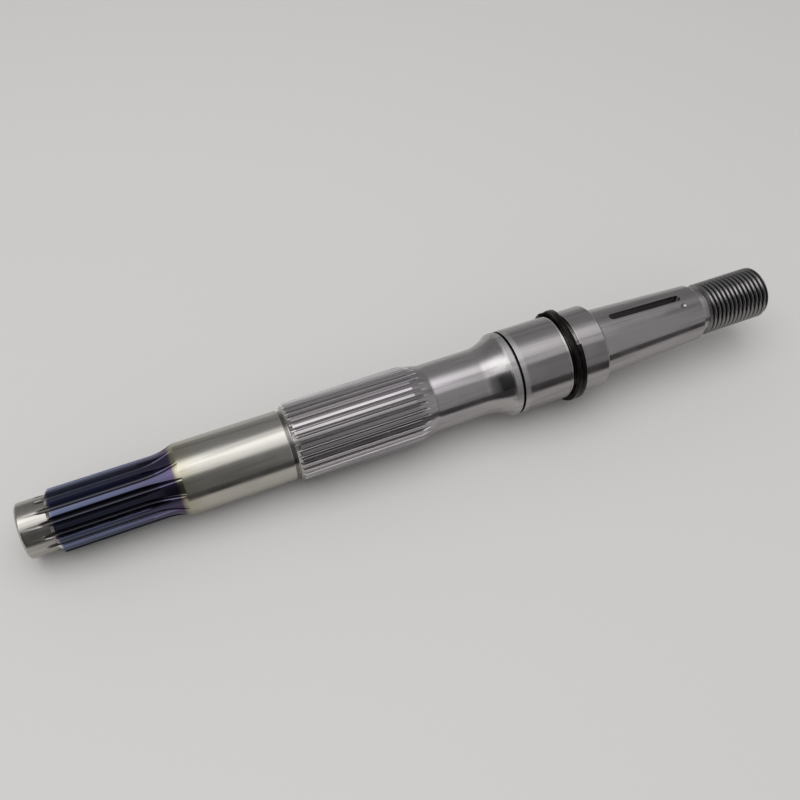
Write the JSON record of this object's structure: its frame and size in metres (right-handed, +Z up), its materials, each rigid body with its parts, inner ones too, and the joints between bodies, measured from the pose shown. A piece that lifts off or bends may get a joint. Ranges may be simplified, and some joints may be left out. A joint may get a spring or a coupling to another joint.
{
  "type": "tapered shaft",
  "caption": "Steel drive shaft with a plain nose, coarse and fine splines, a bearing seat with a black spiral retaining ring, a keyed taper and a threaded end.",
  "frame": {"origin": "on the table under the middle of the shaft's length", "axes": "+X toward the threaded end, +Z up out of the keyway, the shaft lying on its ring and its fine spline"},
  "size_m": [0.317, 0.0386, 0.0386],
  "materials": {
    "ground_steel": "turned and ground, with a blue heat tint on the coarse spline",
    "black_spring_steel": "black oxide, lightly oiled"
  },
  "bodies": {
    "root": {"shaft": "ground_steel", "retaining_ring": "black_spring_steel"}
  },
  "joints": []
}
